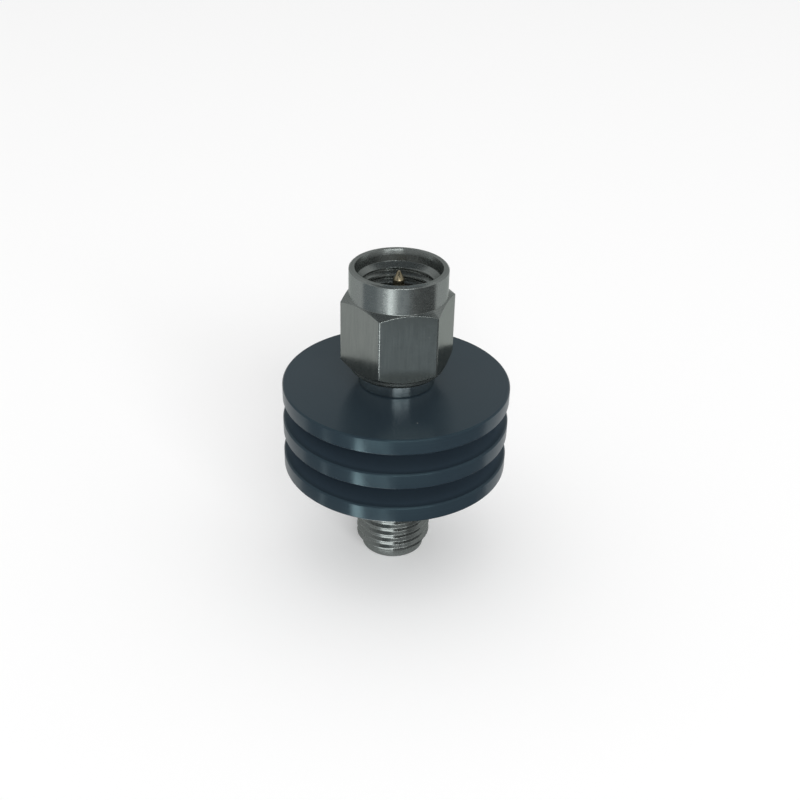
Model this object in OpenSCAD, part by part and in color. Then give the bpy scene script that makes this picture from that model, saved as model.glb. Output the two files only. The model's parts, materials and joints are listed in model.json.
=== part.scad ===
// Fixed coaxial attenuator: a plug with a coupling nut at the top, a threaded jack at the
// bottom, and a finned heat sink round the resistor chip that joins their centre contacts.
// It stands on the jack's end face, with +Z along the connector axis. Sizes are millimetres.

/* [Heat sink] */
// Diameter of the fins
sink_d = 18.5; // [16:0.1:24]
// Number of fins
fin_count = 3; // [3:1:6]
// Thickness of one fin
fin_t = 1.4; // [1:0.1:2.4]
// Height of the groove between two fins
fin_gap = 1.7; // [1.2:0.1:3]
// Diameter at the bottom of the grooves
core_d = 11.5; // [9:0.1:14]
// Fillet at the bottom of the grooves
groove_fillet = 0.3; // [0.1:0.05:0.5]
// Edge break on the fins and at both ends of the bore
fin_edge = 0.12; // [0.05:0.01:0.2]
// Bore that takes both connectors and the chip carrier
sink_bore_d = 5.4; // [5:0.05:5.6]

/* [Jack] */
// Outside diameter of the thread
thread_d = 6.26; // [6:0.01:6.4]
// Length of the thread
jack_thread_l = 6.1; // [4:0.1:9]
// Diameter of the plain tip below the thread
jack_tip_d = 5.28; // [5.2:0.01:5.5]
// Length of the plain tip
jack_tip_l = 0.63; // [0.3:0.01:1.5]
// Diameter of the relief behind the thread
jack_relief_d = 5.3; // [5:0.05:5.8]
// Length of the relief behind the thread
jack_relief_l = 0.9; // [0.8:0.05:2]
// Diameter of the collar that seats under the heat sink
jack_collar_d = 6.6; // [6.2:0.05:8]
// Length of that collar
jack_collar_l = 0.48; // [0.3:0.01:2]
// Bore that takes the tube of the mating plug
jack_bore_d = 4.62; // [4.58:0.01:4.7]
// Depth of that bore, from the end face to the reference plane
jack_bore_l = 1.93; // [1.5:0.01:2.4]
// How far the jack is let into the heat sink
jack_spigot_l = 2.1; // [1.4:0.1:2.6]

/* [Plug] */
// Diameter of the neck that seats on the heat sink
neck_d = 6.2; // [6.1:0.05:6.8]
// Height of the neck
neck_h = 1.1; // [0.5:0.1:3]
// Diameter of the body that the nut turns on
body_d = 5.5; // [5.3:0.05:5.7]
// Length of that body, from the neck to the gasket's seat
body_l = 3.8; // [3.2:0.1:6]
// Diameter of the tube that enters the mating jack
tube_d = 4.58; // [4.5:0.01:4.62]
// Wall of that tube, round the plug's insulators
tube_wall = 0.24; // [0.18:0.01:0.3]
// Length of the tube, from the gasket's seat to the reference plane
tube_l = 2.5; // [2.2:0.1:3.5]
// How far the plug is let into the heat sink
plug_spigot_l = 2.1; // [1.4:0.1:2.6]
// Thickness of the rubber gasket
gasket_t = 0.65; // [0.4:0.05:0.8]
// Width of the gasket round the tube
gasket_w = 0.44; // [0.3:0.02:0.6]

/* [Coupling nut] */
// Width across the flats
nut_af = 8; // [8:0.05:10]
// Angle at which a corner of the hexagon points
nut_angle = 12.6; // [0:0.1:60]
// Diameter of the round collar above the hexagon
collar_d = 7.8; // [7.5:0.05:7.9]
// Length of the collar
collar_l = 2.28; // [1.2:0.02:3.4]
// Diameter of the round foot below the hexagon
foot_d = 7.7; // [7.2:0.05:7.9]
// Height of the foot
foot_l = 0.58; // [0.4:0.02:1.2]
// Edge break on the foot
foot_edge = 0.35; // [0.1:0.05:0.4]
// Diameter of the plain mouth above the thread
mouth_d = 6.7; // [6.4:0.05:6.9]
// Depth from the rim to the thread's lead-in
mouth_l = 1; // [0.7:0.05:1.5]
// Width of the taper at the top of the mouth
mouth_edge = 0.1; // [0.05:0.01:0.15]
// Edge break on the outside of the rim
rim_edge = 0.12; // [0.08:0.01:0.2]
// Bore across the crests of the inside thread
nut_thread_d = 5.6; // [5.5:0.02:5.8]

/* [Retaining ring] */
// Thickness of the ring along the axis
ring_t = 0.5; // [0.3:0.05:0.6]
// Width of the ring across its section
ring_w = 0.65; // [0.5:0.05:0.8]
// Height of the ring above the neck
ring_h = 1.4; // [0.8:0.1:1.6]
// Angle of the gap that lets the ring spring
ring_opening = 30; // [10:5:60]
// Free travel of the nut along the axis
nut_float = 0.2; // [0.1:0.05:0.4]

/* [Centre line] */
// Bore of the jack, which its insulators fill
insulator_d = 4.1; // [3.8:0.05:4.2]
// Diameter of the contacts inside the insulators
line_d = 1.27; // [1.2:0.01:1.4]
// Diameter of the plug's pin
pin_d = 0.914; // [0.88:0.002:0.94]
// How far the pin stands out of the reference plane
pin_reach = 2.2; // [1.6:0.1:2.5]
// How far the pin's point lies below the nut's rim
pin_recess = 0.37; // [0:0.01:1.5]
// Length of the pin's pointed end
pin_point_l = 0.65; // [0.3:0.05:0.9]
// Diameter of the flat on the pin's point
pin_point_d = 0.2; // [0.1:0.02:0.4]
// Bore of the jack's socket
socket_d = 0.94; // [0.92:0.01:0.98]
// Depth of the jack's socket
socket_l = 2.65; // [2.2:0.05:3.5]
// Length of the slots that let the socket spring
slot_l = 2.1; // [1.2:0.05:2.15]
// Width of those slots
slot_w = 0.15; // [0.1:0.01:0.17]
// Diameter of the flange that holds each contact between two insulators
flange_d = 2; // [1.6:0.1:2.6]
// Thickness of that flange
flange_t = 0.6; // [0.4:0.1:1]
// Diameter of the opening behind the insulators
lip_d = 3.2; // [2.6:0.1:3.6]
// Length of that opening
lip_l = 0.7; // [0.5:0.1:1.2]

/* [Chip] */
// Width of the resistor chip
chip_w = 4.2; // [3.6:0.1:4.6]
// Thickness of the resistor chip
chip_t = 0.38; // [0.25:0.01:0.5]
// Diameter of the channel through the chip's carrier
channel_d = 3; // [2.4:0.1:3.4]
// Diameter of the contacts' tails, which are split to grip the chip
tail_d = 1.1; // [0.95:0.05:1.2]
// How far each tail reaches over the chip
tail_grip = 0.5; // [0.3:0.05:0.7]
// How far the chip lies inside each end of its carrier
chip_inset = 0.1; // [0.05:0.05:0.3]

/* [Fits] */
// Gap round a piece that is pressed or screwed into another
seat_gap = 0.02; // [0.01:0.01:0.04]
// Gap between pieces that turn or slide on each other
run_gap = 0.05; // [0.03:0.01:0.08]
// Edge break on the connectors' turned ends and shoulders
edge = 0.08; // [0.04:0.01:0.1]

/* [Hidden] */
$fn = 96;

// Angles of the nut's turned cones, from the plane across the axis
foot_angle = 38;
hex_angle = 30;
lead_angle = 32;
mouth_angle = 77;

// How far a cut runs past the face that it opens
past = 1;

// Heights up the axis, from the jack's end face
sink_h = fin_count * fin_t + (fin_count - 1) * fin_gap;
thread_z0 = jack_tip_l + (thread_d - jack_tip_d) / 2;
thread_z1 = thread_z0 + jack_thread_l;
sink_z = thread_z1 + jack_relief_l + jack_collar_l;
top_z = sink_z + sink_h;
neck_z = top_z + neck_h;
seat_z = neck_z + body_l;
plug_ref_z = seat_z + tube_l;
pin_tip_z = plug_ref_z + pin_reach;
rim_z = pin_tip_z + pin_recess;
nut_z = neck_z + run_gap;
ring_z = neck_z + ring_h;
carrier_z0 = sink_z + jack_spigot_l;
carrier_z1 = top_z - plug_spigot_l;
jack_lip_z = carrier_z0 - lip_l;
plug_lip_z = carrier_z1 + lip_l;
socket_z0 = jack_bore_l + seat_gap;
socket_z1 = socket_z0 + socket_l;

// Flanges halfway along what is left for the insulators
plug_flange_z = (plug_lip_z + plug_ref_z - flange_t) / 2;
jack_flange_z = (socket_z1 + jack_lip_z - flange_t) / 2;

// Sizes that follow from a seat
spigot_d = sink_bore_d - 2 * seat_gap;
plug_bore_d = tube_d - 2 * tube_wall;
ring_bore_d = body_d - ring_w;
ring_d = body_d + ring_w;
chip_l = carrier_z1 - carrier_z0 - 2 * chip_inset;
chip_slot_t = chip_t + 2 * seat_gap;

// A solid of revolution about the axis, from points of radius and height.
module turned(points) {
    rotate_extrude() polygon(points);
}

// Points of an arc about a centre, from one angle to another.
function arc(centre, r, from, to, steps = 4) =
    [for (i = [0 : steps]) let (a = from + (to - from) * i / steps)
        [centre[0] + r * cos(a), centre[1] + r * sin(a)]];

// Rim of one fin from its lower face to its upper face, with both edges broken.
function fin_rim(z) =
    let (r = sink_d / 2)
    [[r - fin_edge, z], [r, z + fin_edge], [r, z + fin_t - fin_edge], [r - fin_edge, z + fin_t]];

// Bottom of the groove above a fin, with a fillet in both corners.
function groove_bottom(z) =
    let (r = core_d / 2 + groove_fillet)
    concat(arc([r, z + groove_fillet], groove_fillet, 270, 180),
           arc([r, z + fin_gap - groove_fillet], groove_fillet, 180, 90));

// Finned sink, turned and bored from one bar.
module heat_sink() {
    r = sink_bore_d / 2;
    outside = [for (i = [0 : fin_count - 1])
        let (z = sink_z + i * (fin_t + fin_gap))
        each concat(fin_rim(z), i < fin_count - 1 ? groove_bottom(z + fin_t) : [])];
    bore = [[r + fin_edge, top_z], [r, top_z - fin_edge], [r, sink_z + fin_edge], [r + fin_edge, sink_z]];
    color("#2b323a") turned(concat(outside, bore));
}

// Outside of the nut as it is turned, before the flats are cut.
module nut_blank() {
    blank_r = nut_af / 2 / cos(30) + past;
    collar_r = collar_d / 2;
    foot_r = foot_d / 2;
    hex_z0 = nut_z + foot_l;
    hex_z1 = rim_z - collar_l;
    turned([[0, nut_z], [foot_r - foot_edge, nut_z], [foot_r, nut_z + foot_edge], [foot_r, hex_z0],
            [blank_r, hex_z0 + (blank_r - foot_r) * tan(foot_angle)],
            [blank_r, hex_z1 - (blank_r - collar_r) * tan(hex_angle)], [collar_r, hex_z1],
            [collar_r, rim_z - rim_edge], [collar_r - rim_edge, rim_z], [0, rim_z]]);
}

// Everything that is bored out of the nut, from its foot to its rim.
module nut_bore() {
    bore_r = body_d / 2 + run_gap;
    ring_r = ring_d / 2 + run_gap;
    thread_r = nut_thread_d / 2;
    mouth_r = mouth_d / 2;
    ring_z0 = ring_z - run_gap;
    ring_z1 = ring_z + ring_t + run_gap;
    relief_z0 = seat_z - nut_float - run_gap;
    relief_z1 = seat_z + gasket_t + run_gap;
    lead_z = rim_z - mouth_l;
    turned([[0, nut_z - past], [bore_r + edge, nut_z - past], [bore_r + edge, nut_z], [bore_r, nut_z + edge],
            [bore_r, ring_z0], [ring_r, ring_z0], [ring_r, ring_z1], [bore_r, ring_z1],
            [bore_r, relief_z0], [ring_r, relief_z0], [ring_r, relief_z1],
            [thread_r, relief_z1 + ring_r - thread_r],
            [thread_r, lead_z - (mouth_r - thread_r) * tan(lead_angle)], [mouth_r, lead_z],
            [mouth_r, rim_z - mouth_edge * tan(mouth_angle)], [mouth_r + mouth_edge, rim_z],
            [mouth_r + mouth_edge, rim_z + past], [0, rim_z + past]]);
}

// Hexagon nut that turns on the plug and draws it onto the mating jack.
module coupling_nut() {
    color("#8a8d8c") difference() {
        intersection() {
            nut_blank();
            translate([0, 0, nut_z - past]) rotate(nut_angle)
                cylinder(d = nut_af / cos(30), h = rim_z - nut_z + 2 * past, $fn = 6);
        }
        nut_bore();
    }
}

// Split spring ring that holds the nut on the plug.
module retaining_ring() {
    color("#b08d4a") translate([0, 0, ring_z]) rotate(90 + ring_opening / 2)
        rotate_extrude(angle = 360 - ring_opening)
            translate([ring_bore_d / 2, 0]) square([ring_w, ring_t]);
}

// Rubber ring that the mating jack is drawn down onto.
module plug_gasket() {
    inner_r = tube_d / 2 + seat_gap;
    outer_r = inner_r + gasket_w;
    color("#b5623a") turned([[inner_r, seat_z], [outer_r, seat_z],
                             [outer_r, seat_z + gasket_t], [inner_r, seat_z + gasket_t]]);
}

// Outer conductor of the plug: spigot, neck, grooved body and tube, turned as one.
module plug_shell() {
    spigot_r = spigot_d / 2;
    neck_r = neck_d / 2;
    body_r = body_d / 2;
    tube_r = tube_d / 2;
    bore_r = plug_bore_d / 2;
    lip_r = lip_d / 2;
    groove_r = ring_bore_d / 2 - run_gap;
    groove_z0 = ring_z - run_gap;
    groove_z1 = ring_z + ring_t + nut_float + run_gap;
    color("#8a8d8c") turned([
        [lip_r, carrier_z1], [spigot_r - edge, carrier_z1], [spigot_r, carrier_z1 + edge], [spigot_r, top_z],
        [neck_r - edge, top_z], [neck_r, top_z + edge], [neck_r, neck_z - edge], [neck_r - edge, neck_z],
        [body_r, neck_z], [body_r, groove_z0], [groove_r, groove_z0], [groove_r, groove_z1],
        [body_r, groove_z1], [body_r, seat_z], [tube_r, seat_z], [tube_r, plug_ref_z - edge],
        [tube_r - edge, plug_ref_z], [bore_r, plug_ref_z], [bore_r, plug_lip_z], [lip_r, plug_lip_z]]);
}

// Insulator with plain ends in a shell's bore, from one height to another.
module plain_bead(shell_bore_d, z0, z1) {
    outer_r = shell_bore_d / 2 - seat_gap;
    bore_r = line_d / 2 + seat_gap;
    color("#f2f1ec") turned([[bore_r, z0], [outer_r, z0], [outer_r, z1], [bore_r, z1]]);
}

// Insulator with a pocket for the contact's flange at one end, and a plain other end.
module pocket_bead(shell_bore_d, pocket_z, plain_z) {
    outer_r = shell_bore_d / 2 - seat_gap;
    bore_r = line_d / 2 + seat_gap;
    pocket_r = flange_d / 2 + seat_gap;
    floor_z = pocket_z + flange_t * sign(plain_z - pocket_z);
    color("#f2f1ec") turned([[pocket_r, pocket_z], [outer_r, pocket_z], [outer_r, plain_z],
                             [bore_r, plain_z], [bore_r, floor_z], [pocket_r, floor_z]]);
}

module plug_front_insulator() {
    plain_bead(plug_bore_d, plug_flange_z + flange_t, plug_ref_z);
}

module plug_rear_insulator() {
    pocket_bead(plug_bore_d, plug_flange_z + flange_t, plug_lip_z);
}

module jack_front_insulator() {
    plain_bead(insulator_d, jack_bore_l, jack_flange_z);
}

module jack_rear_insulator() {
    pocket_bead(insulator_d, jack_flange_z, jack_lip_z);
}

// The slot in a contact's tail that the chip's end slides into.
module chip_slot(z0, z1) {
    translate([-tail_d, -chip_slot_t / 2, z0]) cube([2 * tail_d, chip_slot_t, z1 - z0]);
}

// Centre pin of the plug, with its flange and split tail.
module plug_pin() {
    chip_z = carrier_z1 - chip_inset;
    tail_z = chip_z - tail_grip;
    flange_z1 = plug_flange_z + flange_t;
    color("#c9a24e") difference() {
        turned([[0, tail_z], [tail_d / 2, tail_z], [tail_d / 2, plug_lip_z], [line_d / 2, plug_lip_z],
                [line_d / 2, plug_flange_z], [flange_d / 2, plug_flange_z],
                [flange_d / 2, flange_z1], [line_d / 2, flange_z1],
                [line_d / 2, plug_ref_z], [pin_d / 2, plug_ref_z], [pin_d / 2, pin_tip_z - pin_point_l],
                [pin_point_d / 2, pin_tip_z], [0, pin_tip_z]]);
        chip_slot(tail_z - past, chip_z + seat_gap);
    }
}

// Outer conductor of the jack: bored tip, thread, relief, collar and spigot, turned as one.
module jack_shell() {
    tip_r = jack_tip_d / 2;
    thread_r = thread_d / 2;
    relief_r = jack_relief_d / 2;
    collar_r = jack_collar_d / 2;
    spigot_r = spigot_d / 2;
    bore_r = insulator_d / 2;
    mate_r = jack_bore_d / 2;
    lip_r = lip_d / 2;
    collar_z = sink_z - jack_collar_l;
    color("#8a8d8c") turned([
        [mate_r + edge, 0], [tip_r - edge, 0], [tip_r, edge], [tip_r, jack_tip_l], [thread_r, thread_z0],
        [thread_r, thread_z1], [relief_r, thread_z1 + thread_r - relief_r], [relief_r, collar_z],
        [collar_r - edge, collar_z], [collar_r, collar_z + edge], [collar_r, sink_z - edge],
        [collar_r - edge, sink_z], [spigot_r, sink_z], [spigot_r, carrier_z0 - edge],
        [spigot_r - edge, carrier_z0], [lip_r, carrier_z0], [lip_r, jack_lip_z], [bore_r, jack_lip_z],
        [bore_r, jack_bore_l], [mate_r, jack_bore_l], [mate_r, edge]]);
}

// Centre contact of the jack: a split socket, a flange and a split tail.
module jack_contact() {
    chip_z = carrier_z0 + chip_inset;
    tail_z = chip_z + tail_grip;
    flange_z1 = jack_flange_z + flange_t;
    color("#c9a24e") difference() {
        turned([[socket_d / 2, socket_z0], [line_d / 2, socket_z0], [line_d / 2, jack_flange_z],
                [flange_d / 2, jack_flange_z], [flange_d / 2, flange_z1], [line_d / 2, flange_z1],
                [line_d / 2, jack_lip_z], [tail_d / 2, jack_lip_z], [tail_d / 2, tail_z], [0, tail_z],
                [0, socket_z1], [socket_d / 2, socket_z1]]);
        for (a = [45, 135]) rotate(a)
            translate([-line_d, -slot_w / 2, socket_z0 - past]) cube([2 * line_d, slot_w, slot_l + past]);
        chip_slot(chip_z - seat_gap, tail_z + past);
    }
}

// One half of the split carrier that clamps the chip's grounded edges.
module carrier_half(side) {
    h = carrier_z1 - carrier_z0;
    chip_slot_w = chip_w + 2 * seat_gap;
    color("#b9a06a") translate([0, 0, carrier_z0]) difference() {
        intersection() {
            cylinder(d = spigot_d, h = h);
            translate([-sink_bore_d, side > 0 ? seat_gap : -seat_gap - sink_bore_d, -past])
                cube([2 * sink_bore_d, sink_bore_d, h + 2 * past]);
        }
        translate([0, 0, -past]) cylinder(d = channel_d, h = h + 2 * past);
        translate([-chip_slot_w / 2, -chip_slot_t / 2, chip_inset - seat_gap])
            cube([chip_slot_w, chip_slot_t, chip_l + 2 * seat_gap]);
    }
}

module front_carrier() {
    carrier_half(-1);
}

module rear_carrier() {
    carrier_half(1);
}

// Ceramic chip with the resistor film, grounded along both side edges.
module resistor_chip() {
    color("#e6e1d6") translate([-chip_w / 2, -chip_t / 2, carrier_z0 + chip_inset])
        cube([chip_w, chip_t, chip_l]);
}

heat_sink();
coupling_nut();
retaining_ring();
plug_gasket();
plug_shell();
plug_front_insulator();
plug_rear_insulator();
plug_pin();
jack_shell();
jack_front_insulator();
jack_rear_insulator();
jack_contact();
front_carrier();
rear_carrier();
resistor_chip();
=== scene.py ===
import json
import math
from collections import defaultdict

import bmesh
import bpy
from mathutils import Matrix, Vector


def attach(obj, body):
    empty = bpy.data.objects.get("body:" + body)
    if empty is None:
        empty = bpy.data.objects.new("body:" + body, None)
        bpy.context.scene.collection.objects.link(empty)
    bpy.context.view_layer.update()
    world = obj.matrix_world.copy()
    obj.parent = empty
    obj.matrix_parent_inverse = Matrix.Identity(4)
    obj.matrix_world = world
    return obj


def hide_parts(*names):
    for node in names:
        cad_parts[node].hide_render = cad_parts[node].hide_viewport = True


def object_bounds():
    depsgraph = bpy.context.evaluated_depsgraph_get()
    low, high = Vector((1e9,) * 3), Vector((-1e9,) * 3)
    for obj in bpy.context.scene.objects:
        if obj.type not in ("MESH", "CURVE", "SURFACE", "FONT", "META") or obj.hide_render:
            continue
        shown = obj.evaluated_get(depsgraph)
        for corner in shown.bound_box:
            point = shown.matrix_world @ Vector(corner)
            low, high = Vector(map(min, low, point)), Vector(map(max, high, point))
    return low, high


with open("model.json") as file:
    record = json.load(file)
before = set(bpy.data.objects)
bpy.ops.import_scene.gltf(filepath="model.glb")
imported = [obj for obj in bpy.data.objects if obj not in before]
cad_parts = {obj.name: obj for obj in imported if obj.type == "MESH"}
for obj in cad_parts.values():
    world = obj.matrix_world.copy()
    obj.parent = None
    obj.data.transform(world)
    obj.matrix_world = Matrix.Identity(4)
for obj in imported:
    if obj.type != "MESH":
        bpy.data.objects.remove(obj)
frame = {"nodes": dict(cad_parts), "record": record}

cad_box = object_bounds()
record = frame["record"]
mounts = {mount["name"]: mount for mount in record["mounts"]}
slot_of = {part["node"]: part["material_slot"] for part in record["subparts"]}
body_of = {node: body for body, nodes in record["behaviour"]["bodies"].items() for node in nodes}

MM = 0.001

# Edges, in mm
TURNED_EDGE = 0.05
SINK_EDGE = 0.07
BEAD_EDGE = 0.06
HEX_EDGE = 0.17
EDGE_STEPS = 3
EDGE_REACH = 0.45

# Threads, in mm: a right-hand 1/4-36 thread, with its flats as shares of the pitch
THREAD_PITCH = 25.4 / 36
THREAD_DEPTH = 0.54 * THREAD_PITCH
OUTER_FLAT = 1 / 8
INNER_FLAT = 1 / 4
THREAD_EDGE = 0.04
FLANK_STEP = 0.08

# How finely the pieces are turned, and what counts as a circle, a flat, a wall or a corner
SINK_COLUMNS = 288
SHELL_COLUMNS = 168
SMALL_COLUMNS = 96
FLAT_COLUMNS = 20
CORNER_COLUMNS = 6
CIRCLE_VERTICES = 30
FLAT_SLACK = 0.03
WALL_SLACK = 0.01
CORNER_SLACK = 0.001
WELD = 1e-7

# Camera, in mm and degrees, fitted to the photo of 800 by 800 pixels
PHOTO_SIZE = 800
FOCAL_PIXELS = 1150.19
SENSOR_WIDTH = 36
CAMERA_PLACE = Vector((0, -81.288, 62.531))
CAMERA_PITCH = math.radians(30.717)
CAMERA_YAW = math.radians(0.239)
CAMERA_ROLL = math.radians(1.537)


# Sections of the turned pieces

def section(node):
    """Corners of a turned node's half-section, in order, as (radius, height) in mm.

    A corner is a circle about the axis that many of the mesh's vertices lie on. The mesh's edges say
    which corners are neighbours, also through the few vertices that lie between two circles.
    """
    mesh = frame["nodes"][node].data
    rings = [(round(v.co.xy.length / MM, 3), round(v.co.z / MM, 3)) for v in mesh.vertices]
    members = defaultdict(set)
    for ring, vertex in zip(rings, mesh.vertices):
        members[ring].add((round(vertex.co.x / MM, 3), round(vertex.co.y / MM, 3)))
    links = defaultdict(set)
    for edge in mesh.edges:
        one, other = (rings[i] for i in edge.vertices)
        if one != other:
            links[one].add(other)
            links[other].add(one)
    for ring in [ring for ring, places in members.items() if len(places) < CIRCLE_VERTICES]:
        near = links.pop(ring, set())
        for one in near:
            links[one] = (links[one] | near) - {one, ring}
    ends = [ring for ring in links if len(links[ring]) == 1]
    line = [min(ends or links, key=lambda ring: ring[1])]
    while True:
        ahead = [ring for ring in links[line[-1]] if ring not in line]
        if not ahead:
            return line
        line.append(min(ahead))


def rounded(points, radius, closed=True):
    """The same line with each corner turned into a curve of about that radius, or less on short sides."""
    line = []
    for i, point in enumerate(points):
        if not closed and i in (0, len(points) - 1):
            line.append(tuple(point))
            continue
        corner = Vector(point)
        back = Vector(points[i - 1]) - corner
        ahead = Vector(points[(i + 1) % len(points)]) - corner
        half = back.angle(ahead, math.pi) / 2
        reach = min(radius / max(math.tan(half), 1e-6), EDGE_REACH * back.length, EDGE_REACH * ahead.length)
        start = corner + back.normalized() * reach
        end = corner + ahead.normalized() * reach
        for step in range(EDGE_STEPS + 1):
            t = step / EDGE_STEPS
            line.append(tuple((1 - t) ** 2 * start + 2 * t * (1 - t) * corner + t ** 2 * end))
    return line


def filled(points, longest):
    """The same line with points added, so that no stretch of it is longer than the given length."""
    line = [points[0]]
    for start, end in zip(points, points[1:]):
        count = max(1, math.ceil(math.dist(start, end) / longest))
        line += [tuple(Vector(start).lerp(Vector(end), (i + 1) / count)) for i in range(count)]
    return line


def turns(columns):
    """Angles of the columns about the axis, with the first one again at the end."""
    return [math.tau * i / columns for i in range(columns + 1)]


# Meshes about the axis

def skin(name, angles, section_at):
    """Mesh over the closed sections that section_at gives for each angle, welded where they meet."""
    work = bmesh.new()
    columns = []
    for angle in angles:
        turn = Matrix.Rotation(angle, 3, "Z")
        columns.append([work.verts.new(turn @ Vector((r, 0, z)) * MM) for r, z in section_at(angle)])
    rows = len(columns[0])
    for left, right in zip(columns, columns[1:]):
        for i in range(rows):
            k = (i + 1) % rows
            work.faces.new((left[i], right[i], right[k], left[k])).smooth = True
    bmesh.ops.remove_doubles(work, verts=work.verts, dist=WELD)
    bmesh.ops.dissolve_degenerate(work, edges=work.edges, dist=WELD)
    bmesh.ops.recalc_face_normals(work, faces=work.faces)
    mesh = bpy.data.meshes.new(name)
    work.to_mesh(mesh)
    work.free()
    piece = bpy.data.objects.new(name, mesh)
    bpy.context.scene.collection.objects.link(piece)
    return piece


def dress(piece, node, *finishes):
    """Put a finished piece in a node's place: on its body, with its finishes."""
    for finish in finishes:
        piece.data.materials.append(finish)
    normals = piece.modifiers.new("even_normals", "WEIGHTED_NORMAL")
    normals.mode = "FACE_AREA"
    normals.weight = 100
    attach(piece, body_of[node])
    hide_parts(node)
    return piece


def turned(name, node, edge, columns, finish):
    """A ring-shaped node turned again with rounded edges."""
    line = rounded(section(node), edge)
    return dress(skin(name, turns(columns), lambda angle: line), node, finish)


# Threads

def thread_form(depth, inside):
    """One turn of the thread, from root to root, as (height, depth) in mm."""
    crest = (INNER_FLAT if inside else OUTER_FLAT) / 2 * THREAD_PITCH
    root = (1 - (OUTER_FLAT if inside else INNER_FLAT)) / 2 * THREAD_PITCH
    end = THREAD_PITCH / 2
    corners = [(-end, depth), (-root, depth), (-crest, 0), (crest, 0), (root, depth), (end, depth)]
    return filled(rounded(corners, THREAD_EDGE, closed=False), FLANK_STEP)


def wall_at(zone, height):
    """Radius of a zone's plain wall at a height, between its corners."""
    for (r0, z0), (r1, z1) in zip(zone, zone[1:]):
        if z0 <= height <= z1:
            return r0 + (r1 - r0) * (height - z0) / max(z1 - z0, 1e-9)
    return zone[-1][0]


def thread_rows(zone, depth, inside, angle):
    """Points up a threaded zone at one angle. The zone's cones cut the thread off at both ends."""
    low, high = zone[0][1], zone[-1][1]
    crest_radius = zone[1][0]
    form = thread_form(depth, inside)[:-1]
    rise = THREAD_PITCH * angle / math.tau
    first = math.floor(low / THREAD_PITCH) - 2
    last = math.ceil(high / THREAD_PITCH) + 1
    points = []
    for turn in range(first, last + 1):
        for height, sunk in form:
            z = min(max(turn * THREAD_PITCH + rise + height, low), high)
            wall = wall_at(zone, z)
            cut = crest_radius + sunk if inside else crest_radius - sunk
            points.append((max(wall, cut) if inside else min(wall, cut), z))
    points[0] = zone[0]
    points[-1] = zone[-1]
    return points


def thread_zone(loop, mount):
    """A loop's threaded wall with the cone at each of its ends, from the lower end up, and the rest of it."""
    radius = mount["dims"]["r_mm"]
    height = mount["pos_m"][2] / MM
    count = len(loop)
    for i in range(count):
        pair = loop[i], loop[(i + 1) % count]
        low, high = sorted(z for _, z in pair)
        if all(abs(r - radius) < WALL_SLACK for r, _ in pair) and low < height < high:
            break
    line = loop[i:] + loop[:i]
    if line[0][1] > line[1][1]:
        line = line[::-1]
        line = line[-2:] + line[:-2]
    return [line[-1], line[0], line[1], line[2]], line[2:]


# The hexagon

def hex_radius(angle, flat, corner_angle):
    """Radius of a hexagon with rounded corners at an angle, for half its width across the flats."""
    from_flat = (angle - corner_angle) % (math.pi / 3) - math.pi / 6
    tangent = (flat - HEX_EDGE) * math.tan(math.pi / 6)
    if abs(from_flat) <= math.atan2(tangent, flat):
        return flat / math.cos(from_flat)
    from_corner = math.pi / 6 - abs(from_flat)
    centre = (flat - HEX_EDGE) / math.cos(math.pi / 6)
    across = centre * math.sin(from_corner)
    return centre * math.cos(from_corner) + math.sqrt(max(HEX_EDGE ** 2 - across ** 2, 0))


def hex_turns(flat, corner_angle):
    """Angles of the columns round a hexagon, closer together over its rounded corners."""
    reach = math.pi / 6 - math.atan2((flat - HEX_EDGE) * math.tan(math.pi / 6), flat)
    angles = []
    for side in range(6):
        corner = corner_angle + side * math.pi / 3
        angles += [corner - reach + 2 * reach * i / CORNER_COLUMNS for i in range(CORNER_COLUMNS)]
        span = math.pi / 3 - 2 * reach
        angles += [corner + reach + span * i / FLAT_COLUMNS for i in range(FLAT_COLUMNS)]
    return angles + [angles[0] + math.tau]


# Pieces

def make_jack_shell(finish):
    """Jack with its outside thread, which both cones run out."""
    zone, rest = thread_zone(section("jack_shell"), mounts["jack_thread"])
    plain = rounded(rest, TURNED_EDGE, closed=False)
    depth = min(THREAD_DEPTH, zone[1][0] - max(zone[0][0], zone[-1][0]))

    def section_at(angle):
        return thread_rows(zone, depth, False, angle) + plain

    return dress(skin("jack_shell_threaded", turns(SHELL_COLUMNS), section_at), "jack_shell", finish)


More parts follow.
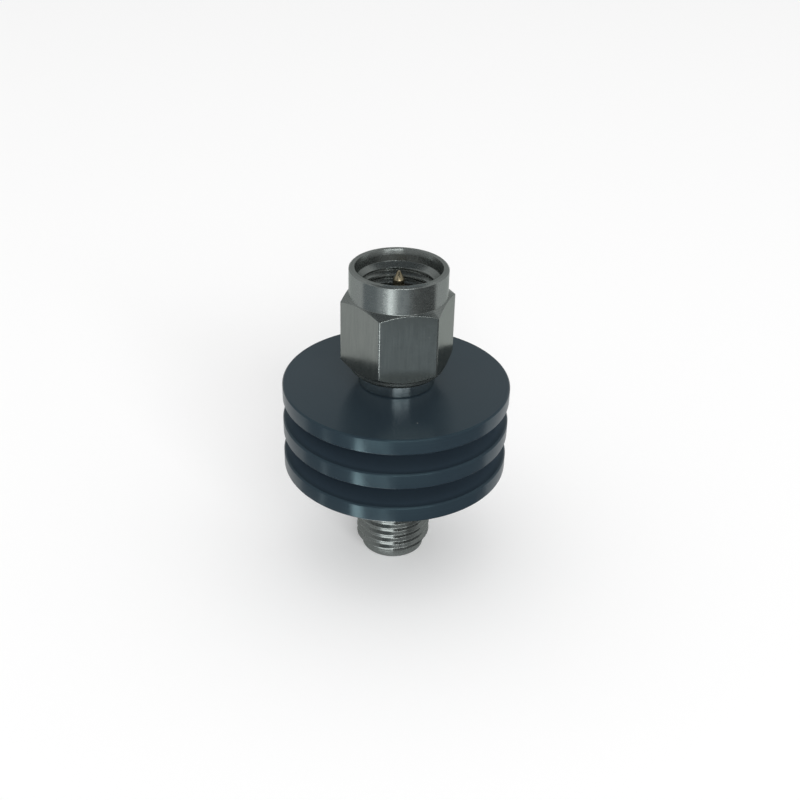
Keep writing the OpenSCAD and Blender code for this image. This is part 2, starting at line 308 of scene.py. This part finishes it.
def make_coupling_nut(turned_finish, drawn_finish):
    """Nut with its hexagon, rounded edges and inside thread."""
    loop = section("coupling_nut")
    vertices = [v.co / MM for v in frame["nodes"]["coupling_nut"].data.vertices]
    tip = max(vertices, key=lambda v: v.xy.length)
    corner_radius = tip.xy.length
    corner_angle = math.atan2(tip.y, tip.x)
    flat = corner_radius * math.cos(math.pi / 6)
    edge_heights = [v.z for v in vertices if v.xy.length > corner_radius - CORNER_SLACK]
    zone, rest = thread_zone(loop, mounts["coupling_thread"])
    depth = min(THREAD_DEPTH, min(zone[0][0], zone[-1][0]) - zone[1][0])
    foot_radius = max(r for r, z in rest if z < min(edge_heights))
    foot = max((p for p in rest if p[0] == foot_radius and p[1] < min(edge_heights)), key=lambda p: p[1])
    collar_radius = max(r for r, z in rest if z > max(edge_heights))
    collar = min((p for p in rest if p[0] == collar_radius and p[1] > max(edge_heights)), key=lambda p: p[1])
    foot_slope = (min(edge_heights) - foot[1]) / (corner_radius - foot_radius)
    collar_slope = (collar[1] - max(edge_heights)) / (corner_radius - collar_radius)

    def section_at(angle):
        radius = hex_radius(angle, flat, corner_angle)
        low = (radius, foot[1] + (radius - foot_radius) * foot_slope)
        high = (radius, collar[1] - (radius - collar_radius) * collar_slope)
        outside = list(rest)
        at = max(rest.index(foot), rest.index(collar))
        outside[at:at] = [low, high] if rest.index(foot) < rest.index(collar) else [high, low]
        return thread_rows(zone, depth, True, angle) + rounded(outside, TURNED_EDGE, closed=False)

    nut = skin("coupling_nut_threaded", hex_turns(flat, corner_angle), section_at)
    for face in nut.data.polygons:
        off_flat = (math.atan2(face.normal.y, face.normal.x) - corner_angle) % (math.pi / 3) - math.pi / 6
        on_flat = abs(face.normal.z) < FLAT_SLACK and abs(off_flat) < FLAT_SLACK
        if on_flat and face.center.xy.length / MM > (flat + collar_radius) / 2:
            face.material_index = 1
    return dress(nut, "coupling_nut", turned_finish, drawn_finish)


# Shader helpers

def feed(tree, socket, value):
    """Link another node's output to a socket, or set the socket's own value."""
    if isinstance(value, bpy.types.NodeSocket):
        tree.links.new(value, socket)
    else:
        socket.default_value = value


def put(tree, kind, inputs=None, **settings):
    """Add a node with its settings, and set or link its inputs by name."""
    made = tree.nodes.new(kind)
    for name, value in settings.items():
        setattr(made, name, value)
    for name, value in (inputs or {}).items():
        feed(tree, made.inputs[name], value)
    return made


def calc(tree, operation, *values):
    """The result of a Math node."""
    made = put(tree, "ShaderNodeMath", operation=operation)
    for socket, value in zip(made.inputs, values):
        feed(tree, socket, value)
    return made.outputs[0]


def ranged(tree, value, from_low, from_high, to_low, to_high):
    """The value carried from one range to another, and held at its ends."""
    inputs = {"Value": value, "From Min": from_low, "From Max": from_high}
    inputs |= {"To Min": to_low, "To Max": to_high}
    return put(tree, "ShaderNodeMapRange", inputs).outputs[0]


def mixed(tree, share, one, other):
    """A colour between two colours."""
    made = put(tree, "ShaderNodeMix", data_type="RGBA")
    feed(tree, made.inputs[0], share)
    feed(tree, made.inputs[6], one)
    feed(tree, made.inputs[7], other)
    return made.outputs[2]


def place_mm(tree):
    """A point's place on its own piece, in mm."""
    point = put(tree, "ShaderNodeTexCoord").outputs["Object"]
    scaled = put(tree, "ShaderNodeVectorMath", {"Vector": point, "Scale": 1 / MM}, operation="SCALE")
    return scaled.outputs[0]


def about_axis(tree, place):
    """A place's distance from the axis, and its height."""
    x, y, z = put(tree, "ShaderNodeSeparateXYZ", {"Vector": place}).outputs
    squares = calc(tree, "ADD", calc(tree, "MULTIPLY", x, x), calc(tree, "MULTIPLY", y, y))
    return calc(tree, "SQRT", squares), z


def effect(name, inputs, outputs):
    """An empty node group with named sockets, and its two end nodes' sockets."""
    tree = bpy.data.node_groups.new(name, "ShaderNodeTree")
    for label, value in inputs.items():
        socket = tree.interface.new_socket(label, in_out="INPUT", socket_type="NodeSocketFloat")
        socket.default_value = value
    for label in outputs:
        tree.interface.new_socket(label, in_out="OUTPUT", socket_type="NodeSocketFloat")
    return tree, tree.nodes.new("NodeGroupInput").outputs, tree.nodes.new("NodeGroupOutput").inputs


def use(tree, group, **inputs):
    """Place a node group with its own values, and give its outputs."""
    made = put(tree, "ShaderNodeGroup", node_tree=group)
    for label, value in inputs.items():
        feed(tree, made.inputs[label.replace("_", " ")], value)
    return made.outputs


# Effects that several finishes share

def make_turning_marks():
    """Rings that the lathe tool leaves, side by side along the section and broken up round the axis."""
    tree, given, out = effect("turning_marks", {"Spacing": 0.06, "Breaks": 0.5}, ("Height", "Shade"))
    place = place_mm(tree)
    radius, z = about_axis(tree, place)
    along = calc(tree, "DIVIDE", calc(tree, "ADD", radius, z), given["Spacing"])
    lines = put(tree, "ShaderNodeTexNoise", {"W": along, "Scale": 1.0, "Detail": 3.0, "Roughness": 0.65},
                noise_dimensions="1D").outputs[0]
    patches = put(tree, "ShaderNodeTexNoise", {"Vector": place, "Scale": 0.8, "Detail": 2.0}).outputs[0]
    kept = calc(tree, "SUBTRACT", 1.0, calc(tree, "MULTIPLY", given["Breaks"], patches))
    feed(tree, out["Height"], calc(tree, "MULTIPLY", lines, kept))
    feed(tree, out["Shade"], ranged(tree, lines, 0.3, 0.7, 0.0, 1.0))
    return tree


def make_drawn_marks():
    """Scratches along the axis, as drawn bar and wrench flats have them."""
    tree, given, out = effect("drawn_marks", {"Spacing": 0.06, "Stretch": 40.0}, ("Height", "Shade"))
    place = place_mm(tree)
    x, y, z = put(tree, "ShaderNodeSeparateXYZ", {"Vector": place}).outputs
    squeezed = put(tree, "ShaderNodeCombineXYZ",
                   {"X": x, "Y": y, "Z": calc(tree, "DIVIDE", z, given["Stretch"])}).outputs[0]
    scale = calc(tree, "DIVIDE", 1.0, given["Spacing"])
    lines = put(tree, "ShaderNodeTexNoise", {"Vector": squeezed, "Scale": scale, "Detail": 2.0}).outputs[0]
    feed(tree, out["Height"], lines)
    feed(tree, out["Shade"], ranged(tree, lines, 0.35, 0.7, 0.0, 1.0))
    return tree


def make_fine_grain():
    """Even fine grain of a blasted, etched or passivated skin, with a broad cloud over it."""
    tree, given, out = effect("fine_grain", {"Grain": 0.08, "Cloud": 2.0}, ("Height", "Cloud"))
    place = place_mm(tree)
    fine = calc(tree, "DIVIDE", 1.0, given["Grain"])
    broad = calc(tree, "DIVIDE", 1.0, given["Cloud"])
    grain = put(tree, "ShaderNodeTexNoise", {"Vector": place, "Scale": fine, "Detail": 2.0}).outputs[0]
    cloud = put(tree, "ShaderNodeTexNoise", {"Vector": place, "Scale": broad, "Detail": 3.0}).outputs[0]
    feed(tree, out["Height"], grain)
    feed(tree, out["Cloud"], ranged(tree, cloud, 0.3, 0.7, 0.0, 1.0))
    return tree


def make_specks():
    """Scattered specks of dust and bright nicks: one in some of the cells of a loose pattern."""
    tree, given, out = effect("specks", {"Cell": 1.2, "Size": 0.05, "Share": 0.1}, ("Mask",))
    place = place_mm(tree)
    scale = calc(tree, "DIVIDE", 1.0, given["Cell"])
    cells = put(tree, "ShaderNodeTexVoronoi", {"Vector": place, "Scale": scale}, feature="F1")
    away = calc(tree, "MULTIPLY", cells.outputs["Distance"], given["Cell"])
    chance = put(tree, "ShaderNodeSeparateColor", {"Color": cells.outputs["Color"]}).outputs[0]
    picked = calc(tree, "LESS_THAN", chance, given["Share"])
    feed(tree, out["Mask"], calc(tree, "MULTIPLY", picked, calc(tree, "LESS_THAN", away, given["Size"])))
    return tree


turning_marks = make_turning_marks()
drawn_marks = make_drawn_marks()
fine_grain = make_fine_grain()
specks = make_specks()


# Finishes

# Painted light that pales the black in the fin grooves, in mm:
# the depths where it starts and is full, and the margin at the ends
GROOVE_LIGHT_FADE = (0.1, 0.6)
GROOVE_LIGHT_MARGIN = 0.2


def blank_finish(name):
    """A material with a plain Principled shader, and its node tree."""
    finish = bpy.data.materials.new(name)
    finish.use_nodes = True
    return finish, finish.node_tree, finish.node_tree.nodes["Principled BSDF"].inputs


def bumped(tree, height, depth_mm):
    """A surface normal from a height between 0 and 1."""
    inputs = {"Height": height, "Strength": 1.0, "Distance": depth_mm * MM}
    return put(tree, "ShaderNodeBump", inputs).outputs[0]


def spread_along_axis(tree, shader, amount):
    """Stretch the highlights across the turning rings, so that a light runs along the axis."""
    feed(tree, shader["Anisotropic"], amount)
    feed(tree, shader["Anisotropic Rotation"], 0.25)
    around = put(tree, "ShaderNodeTangent", direction_type="RADIAL", axis="Z")
    feed(tree, shader["Tangent"], around.outputs[0])


def make_turned_steel(name, dark, light, metallic, roughness, spread):
    """Passivated stainless as turned: a skin whose rings spread each light along the axis."""
    finish, tree, shader = blank_finish(name)
    rings = use(tree, turning_marks, Spacing=0.07, Breaks=0.6)
    skin_marks = use(tree, fine_grain, Grain=0.12, Cloud=0.5)
    feed(tree, shader["Base Color"], mixed(tree, rings["Shade"], (*dark, 1), (*light, 1)))
    feed(tree, shader["Metallic"], metallic)
    feed(tree, shader["Specular Tint"], (0.62, 0.65, 0.63, 1))
    feed(tree, shader["Roughness"], ranged(tree, skin_marks["Cloud"], 0, 1, roughness, roughness + 0.06))
    spread_along_axis(tree, shader, spread)
    height = calc(tree, "ADD", rings["Height"], calc(tree, "MULTIPLY", skin_marks["Height"], 0.4))
    feed(tree, shader["Normal"], bumped(tree, height, 0.0005))
    return finish


def make_drawn_steel():
    """The nut's flats: smooth drawn bar with faint scratches along the axis and a few nicks."""
    finish, tree, shader = blank_finish("drawn_steel")
    lines = use(tree, drawn_marks, Spacing=0.11, Stretch=22.0)
    skin_marks = use(tree, fine_grain, Grain=0.12, Cloud=0.9)
    nicks = use(tree, specks, Cell=0.6, Size=0.05, Share=0.16)
    tone = mixed(tree, lines["Shade"], (0.162, 0.176, 0.168, 1), (0.194, 0.21, 0.199, 1))
    feed(tree, shader["Base Color"], mixed(tree, nicks["Mask"], tone, (0.3, 0.31, 0.29, 1)))
    feed(tree, shader["Metallic"], 0.88)
    feed(tree, shader["Specular Tint"], (0.52, 0.55, 0.53, 1))
    feed(tree, shader["Roughness"], ranged(tree, skin_marks["Cloud"], 0, 1, 0.14, 0.2))
    height = calc(tree, "ADD", lines["Height"], skin_marks["Height"])
    feed(tree, shader["Normal"], bumped(tree, height, 0.0004))
    return finish


def painted_groove_light(tree):
    """1 in the sink's grooves and 0 on its ends and on the fins' rims: where painted light pales the black.
    """
    radii, heights = zip(*section("heat_sink"))
    shallow, deep = (max(radii) - depth for depth in GROOVE_LIGHT_FADE)
    radius, z = about_axis(tree, place_mm(tree))
    inside = ranged(tree, radius, shallow, deep, 0.0, 1.0)
    above = calc(tree, "GREATER_THAN", z, min(heights) + GROOVE_LIGHT_MARGIN)
    below = calc(tree, "LESS_THAN", z, max(heights) - GROOVE_LIGHT_MARGIN)
    return calc(tree, "MULTIPLY", inside, calc(tree, "MULTIPLY", above, below))


def make_black_anodised():
    """Black anodised aluminium: a blue-black skin over fine turning rings, with painted light paling it in
    the fin grooves.
    """
    finish, tree, shader = blank_finish("black_anodised")
    rings = use(tree, turning_marks, Spacing=0.09, Breaks=0.5)
    skin_marks = use(tree, fine_grain, Grain=0.06, Cloud=3.0)
    dust = use(tree, specks, Cell=1.6, Size=0.06, Share=0.07)
    tone = mixed(tree, rings["Shade"], (0.0165, 0.0265, 0.0355, 1), (0.02, 0.031, 0.0415, 1))
    # Painted light: the grooves get a paler blue-black than the rims, in place of light that fills them
    tone = mixed(tree, painted_groove_light(tree), tone, (0.036, 0.055, 0.075, 1))
    feed(tree, shader["Base Color"], mixed(tree, dust["Mask"], tone, (0.2, 0.21, 0.21, 1)))
    feed(tree, shader["Roughness"], ranged(tree, skin_marks["Cloud"], 0, 1, 0.28, 0.32))
    feed(tree, shader["Specular IOR Level"], 0.26)
    feed(tree, shader["Specular Tint"], (0.55, 0.93, 1, 1))
    spread_along_axis(tree, shader, 0.9)
    height = calc(tree, "ADD", rings["Height"], calc(tree, "MULTIPLY", skin_marks["Height"], 0.6))
    feed(tree, shader["Normal"], bumped(tree, height, 0.0013))
    return finish


def make_plated(name, dark, light, roughness):
    """A yellow metal with turning rings and a cloudy tarnish."""
    finish, tree, shader = blank_finish(name)
    rings = use(tree, turning_marks, Spacing=0.05, Breaks=0.5)
    skin_marks = use(tree, fine_grain, Grain=0.05, Cloud=0.6)
    feed(tree, shader["Base Color"], mixed(tree, skin_marks["Cloud"], (*dark, 1), (*light, 1)))
    feed(tree, shader["Metallic"], 1.0)
    feed(tree, shader["Roughness"], ranged(tree, rings["Shade"], 0, 1, roughness, roughness + 0.12))
    feed(tree, shader["Normal"], bumped(tree, rings["Height"], 0.002))
    return finish


def make_matt(name, dark, light, roughness, grain):
    """A soft or fired material with a fine grain and a slight cloud in its colour."""
    finish, tree, shader = blank_finish(name)
    skin_marks = use(tree, fine_grain, Grain=grain, Cloud=1.0)
    rings = use(tree, turning_marks, Spacing=0.05, Breaks=0.8)
    feed(tree, shader["Base Color"], mixed(tree, skin_marks["Cloud"], (*dark, 1), (*light, 1)))
    feed(tree, shader["Roughness"], ranged(tree, rings["Shade"], 0, 1, roughness, roughness + 0.1))
    feed(tree, shader["Normal"], bumped(tree, skin_marks["Height"], 0.003))
    return finish


turned_steel = make_turned_steel(
    "turned_steel", (0.172, 0.188, 0.182), (0.206, 0.224, 0.217), metallic=0.88, roughness=0.24, spread=0.7)
bright_steel = make_turned_steel(
    "bright_steel", (0.54, 0.59, 0.61), (0.6, 0.65, 0.67), metallic=1.0, roughness=0.14, spread=0.4)
drawn_steel = make_drawn_steel()
black_anodised = make_black_anodised()
gold_plate = make_plated("gold_plate", (0.28, 0.24, 0.16), (0.36, 0.31, 0.21), roughness=0.2)
spring_bronze = make_plated("spring_bronze", (0.42, 0.26, 0.1), (0.52, 0.34, 0.15), roughness=0.3)
carrier_brass = make_plated("carrier_brass", (0.5, 0.36, 0.14), (0.62, 0.47, 0.21), roughness=0.28)
white_insulator = make_matt(
    "white_insulator", (0.8, 0.79, 0.76), (0.86, 0.85, 0.83), roughness=0.45, grain=0.08)
gasket_rubber = make_matt(
    "gasket_rubber", (0.42, 0.13, 0.05), (0.5, 0.17, 0.07), roughness=0.6, grain=0.1)
chip_ceramic = make_matt(
    "chip_ceramic", (0.74, 0.72, 0.66), (0.82, 0.8, 0.75), roughness=0.4, grain=0.05)
finish_of = {
    "black_anodised": black_anodised, "stainless": turned_steel, "gold_plate": gold_plate,
    "spring_bronze": spring_bronze, "carrier_brass": carrier_brass, "white_insulator": white_insulator,
    "gasket_rubber": gasket_rubber, "chip_ceramic": chip_ceramic,
}

turned("heat_sink_turned", "heat_sink", SINK_EDGE, SINK_COLUMNS, black_anodised)
make_coupling_nut(turned_steel, drawn_steel)
make_jack_shell(turned_steel)
turned("plug_shell_turned", "plug_shell", TURNED_EDGE, SHELL_COLUMNS, bright_steel)
turned("plug_gasket_moulded", "plug_gasket", BEAD_EDGE, SMALL_COLUMNS, gasket_rubber)
for bead in ("plug_front_insulator", "plug_rear_insulator", "jack_front_insulator", "jack_rear_insulator"):
    turned(bead + "_turned", bead, BEAD_EDGE, SMALL_COLUMNS, white_insulator)

for node, piece in frame["nodes"].items():
    piece.data.materials.clear()
    piece.data.materials.append(finish_of[slot_of[node]])


# Floor, light and camera

# Floor and sky: the floor's sizes in mm and its step in degrees, and the tones of both
FLOOR_RADIUS = 4000
FLOOR_STEP = 5
FLOOR_DROP = 0.02
FLOOR_TONE = 0.93
FLOOR_LIFT = 0.055
SKY_LOW = 0.6
SKY_HIGH = 0.9

# Windows, in mm and degrees: azimuth from the camera, distance, middle height, width, height, radiance
WINDOW_LAMPS = ((3, 1200, 600, 460, 375, 11), (27, 1200, 600, 540, 375, 7.5))

# Cards that only reflections show lie in rings on the floor: near and far edge, first azimuth, and
# then each card's last azimuth, tone and glow. The rings are where the jack, the fins and the nut
# mirror the floor, the floor beyond, and what the front flat mirrors. Each lies above the one before.
# The cards paint reflections: the dark ones are painted shade that the metal mirrors, the glowing ones
# painted highlights
CARD_RINGS = (
    (3.4, 16, -40, ((-30, 0.42, 0.8), (-14, 0.42, 3), (2, 0.42, 3.2), (80, 0.05, 0))),
    (16, 37, -88, ((-4, 0.32, 0), (88, 0.18, 0))),
    (37, 85, -84, ((-50, 0.34, 0), (-44, 0.34, 0.3), (-30, 0.34, 0.7), (-23, 0.34, 1.5), (-10, 0.34, 6),
                   (-3, 0.34, 2.4), (5, 0.34, 0.4), (17, 0.34, 0.15), (25, 0.2, 0), (90, 0.03, 0))),
    (85, 900, -84, ((25, 0.34, 0), (90, 0.03, 0))),
    (35, 52, 15, ((34, 0.45, 0),)),
)
CARD_STEP = 10
CARD_LIFT = 0.02
# A bluish tint given to the painted reflections of the cards
CARD_TINT = (0.88, 1, 1.1)

# Three glowing cards over them, painted highlights that the fins' rims mirror, by their corners' azimuths and
# distances
RIM_CARDS = (
    (((-33, 18), (-22, 18), (-30, 38), (-35, 38)), 14),
    (((-10, 18), (-3, 18), (-5, 38), (-12, 38)), 1.6),
    (((-63, 18), (-58, 18), (-63, 38), (-67, 38)), 2),
)
RIM_CARD_TONE = 0.4

# A dark hood hangs where the nut's mouth mirrors what is overhead, a painted dark reflection there
HOOD_SPAN = (-150, 150, -262, 80)
HOOD_HEIGHT = 206
HOOD_TONE = 0.12

# A small dark flag keeps the windows off the pin: its two sides, its place in front and its heights
FLAG_SPAN = (-1.2, 2.4, -2.6, 26.45, 28.2)
FLAG_TONE = 0.3


def compass(azimuth, distance, height=0):
    """A place by its azimuth from the camera's side, in mm."""
    turn = math.radians(azimuth)
    return Vector((math.sin(turn) * distance, -math.cos(turn) * distance, height))


def make_sheet(name, corners, tone):
    """A flat matt sheet of the studio, from its corners in mm, and its material's tree and shader."""
    mesh = bpy.data.meshes.new(name)
    mesh.from_pydata([corner * MM for corner in corners], [], [range(len(corners))])
    sheet = bpy.data.objects.new(name, mesh)
    bpy.context.scene.collection.objects.link(sheet)
    finish, tree, shader = blank_finish(name)
    feed(tree, shader["Base Color"], (tone, tone, tone, 1))
    feed(tree, shader["Roughness"], 0.9)
    feed(tree, shader["Specular IOR Level"], 0.0)
    feed(tree, shader["Emission Color"], (1, 1, 1, 1))
    mesh.materials.append(finish)
    return sheet, tree, shader


def make_floor():
    """Pale floor, a little whiter to the eye and to metal than the light on it makes it."""
    rim = [compass(-azimuth, FLOOR_RADIUS, -FLOOR_DROP) for azimuth in range(0, 360, FLOOR_STEP)]
    _, tree, shader = make_sheet("floor", rim, FLOOR_TONE)
    rays = put(tree, "ShaderNodeLightPath").outputs
    seen = calc(tree, "ADD", rays["Is Camera Ray"], rays["Is Glossy Ray"])
    seen = calc(tree, "ADD", seen, rays["Is Transmission Ray"])
    feed(tree, shader["Emission Strength"], calc(tree, "MULTIPLY", seen, FLOOR_LIFT))


def make_card(name, corners, tone, glow=0):
    """A card that only reflections show, so that it neither shades the floor nor stands in the picture: a
    painted reflection, dark for shade or glowing for a highlight.
    """
    card, tree, shader = make_sheet(name, corners, tone)
    feed(tree, shader["Base Color"], (*(tone * part for part in CARD_TINT), 1))
    feed(tree, shader["Emission Strength"], glow)
    card.visible_camera = False
    card.visible_diffuse = False
    card.visible_shadow = False
    return card


def make_cards():
    """Cards on the floor in rings about the part, the hood over it and the flag in front of its pin."""
    for level, (near, far, start, cards) in enumerate(CARD_RINGS):
        for end, tone, glow in cards:
            count = math.ceil((end - start) / CARD_STEP)
            azimuths = [start + (end - start) * i / count for i in range(count + 1)]
            corners = [compass(azimuth, far, level * CARD_LIFT) for azimuth in azimuths]
            corners += [compass(azimuth, near, level * CARD_LIFT) for azimuth in reversed(azimuths)]
            make_card("card", corners, tone, glow)
            start = end
    for corners, glow in RIM_CARDS:
        raised = [compass(*corner, len(CARD_RINGS) * CARD_LIFT) for corner in corners]
        make_card("rim_card", raised, RIM_CARD_TONE, glow)
    left, right, front, back = HOOD_SPAN
    sides = (left, front), (left, back), (right, back), (right, front)
    corners = [Vector((x, y, HOOD_HEIGHT)) for x, y in sides]
    make_card("hood", corners, HOOD_TONE)
    left, right, front, low, high = FLAG_SPAN
    corners = [Vector((x, front, z)) for x, z in ((left, low), (left, high), (right, high), (right, low))]
    flag = make_card("flag", corners, FLAG_TONE)
    flag.visible_shadow = True


def make_sky():
    """Soft light from all round, brighter overhead."""
    world = bpy.data.worlds.new("studio")
    world.use_nodes = True
    tree = world.node_tree
    up = put(tree, "ShaderNodeSeparateXYZ",
             {"Vector": put(tree, "ShaderNodeTexCoord").outputs["Generated"]}).outputs["Z"]
    sky = tree.nodes["Background"].inputs
    feed(tree, sky["Color"], (1, 1, 1, 1))
    feed(tree, sky["Strength"], ranged(tree, up, 0.5, 0.85, SKY_LOW, SKY_HIGH))
    bpy.context.scene.world = world


def make_lamp(name, azimuth, distance, middle, width, height, radiance):
    """A soft rectangular lamp in front of the part, turned to face it."""
    lamp = bpy.data.lights.new(name, "AREA")
    lamp.shape = "RECTANGLE"
    lamp.size = width * MM
    lamp.size_y = height * MM
    lamp.energy = radiance * math.pi * lamp.size * lamp.size_y
    stand = bpy.data.objects.new(name, lamp)
    place = compass(azimuth, distance, middle)
    aim = Vector((0, 0, (cad_box[0].z + cad_box[1].z) / 2 / MM)) - place
    stand.location = place * MM
    stand.rotation_euler = aim.to_track_quat("-Z", "Y").to_euler()
    stand.visible_camera = False
    bpy.context.scene.collection.objects.link(stand)


def make_camera():
    """Camera where the photo was taken from, with its pitch, yaw and roll."""
    ahead = Vector((math.sin(CAMERA_YAW) * math.cos(CAMERA_PITCH),
                    math.cos(CAMERA_YAW) * math.cos(CAMERA_PITCH), -math.sin(CAMERA_PITCH)))
    right = Vector((math.cos(CAMERA_YAW), -math.sin(CAMERA_YAW), 0))
    up = right.cross(ahead)
    level = Matrix((right, up, -ahead)).transposed()
    lens = bpy.data.cameras.new("camera")
    lens.sensor_width = SENSOR_WIDTH
    lens.lens = FOCAL_PIXELS / PHOTO_SIZE * SENSOR_WIDTH
    lens.clip_start = MM
    camera = bpy.data.objects.new("camera", lens)
    turned_level = level @ Matrix.Rotation(CAMERA_ROLL, 3, "Z")
    camera.matrix_world = Matrix.Translation(CAMERA_PLACE * MM) @ turned_level.to_4x4()
    bpy.context.scene.collection.objects.link(camera)
    bpy.context.scene.camera = camera


make_floor()
make_sky()
make_cards()
for window in WINDOW_LAMPS:
    make_lamp("window", *window)
make_camera()
bpy.context.scene.view_settings.view_transform = "Standard"
